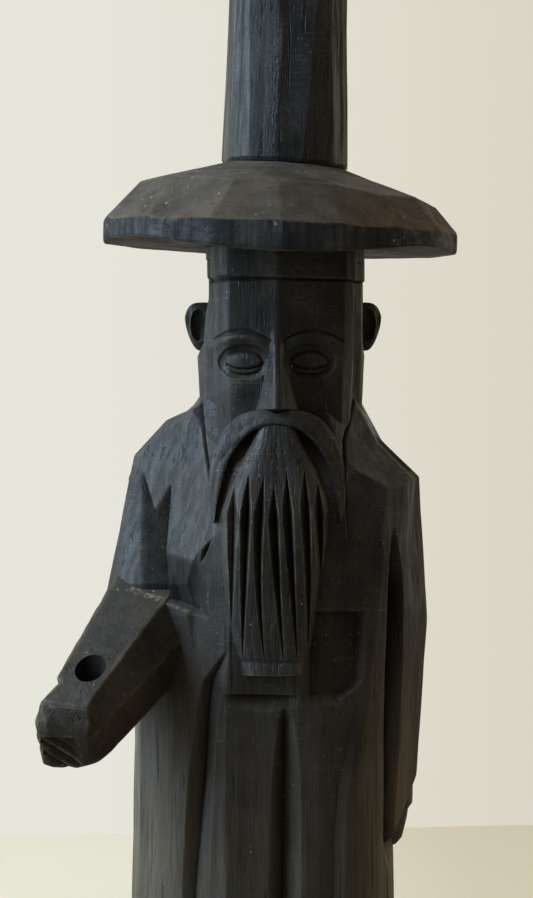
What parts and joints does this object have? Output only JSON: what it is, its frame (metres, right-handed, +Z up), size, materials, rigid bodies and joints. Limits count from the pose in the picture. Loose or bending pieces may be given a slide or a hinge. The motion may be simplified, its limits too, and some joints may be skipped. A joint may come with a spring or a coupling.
{
  "type": "carved wooden figure",
  "caption": "Dark carved wooden figure of a bearded elder in a robe and a wide-brimmed hat with a tall crown, a forearm held out and an empty staff hole through its fist.",
  "frame": {"origin": "on the surface that the figure stands on, under the hat's peg", "axes": "+Z up, the figure faces -Y, +X is the figure's left"},
  "size_m": [0.1273, 0.116, 0.365],
  "materials": {
    "body_wood": "ebonised stain over a knife-cut surface, satin, rubbed brown on the edges",
    "brim_wood": "thin dark stain, dusty, worn to brown on top",
    "crown_wood": "ebonised stain on flat knife-cut facets, satin, scratched",
    "pin_wood": "bare turned dowel"
  },
  "bodies": {
    "figure": {"figure_body": "body_wood", "right_forearm": "body_wood", "elbow_dowel": "pin_wood"},
    "peg": {"hat_peg": "pin_wood"},
    "hat": {"hat_brim": "brim_wood", "hat_crown": "crown_wood"}
  },
  "joints": [
    {"name": "hat_lift", "type": "slide", "parent": "figure", "child": "peg", "axis": [0.0244, 0, 0.9997], "range_m": [0, 0.018]},
    {"name": "hat_turn", "type": "hinge", "parent": "peg", "child": "hat", "pos_m": [0, 0, 0.276], "axis": [0.0244, 0, 0.9997], "continuous": true}
  ]
}
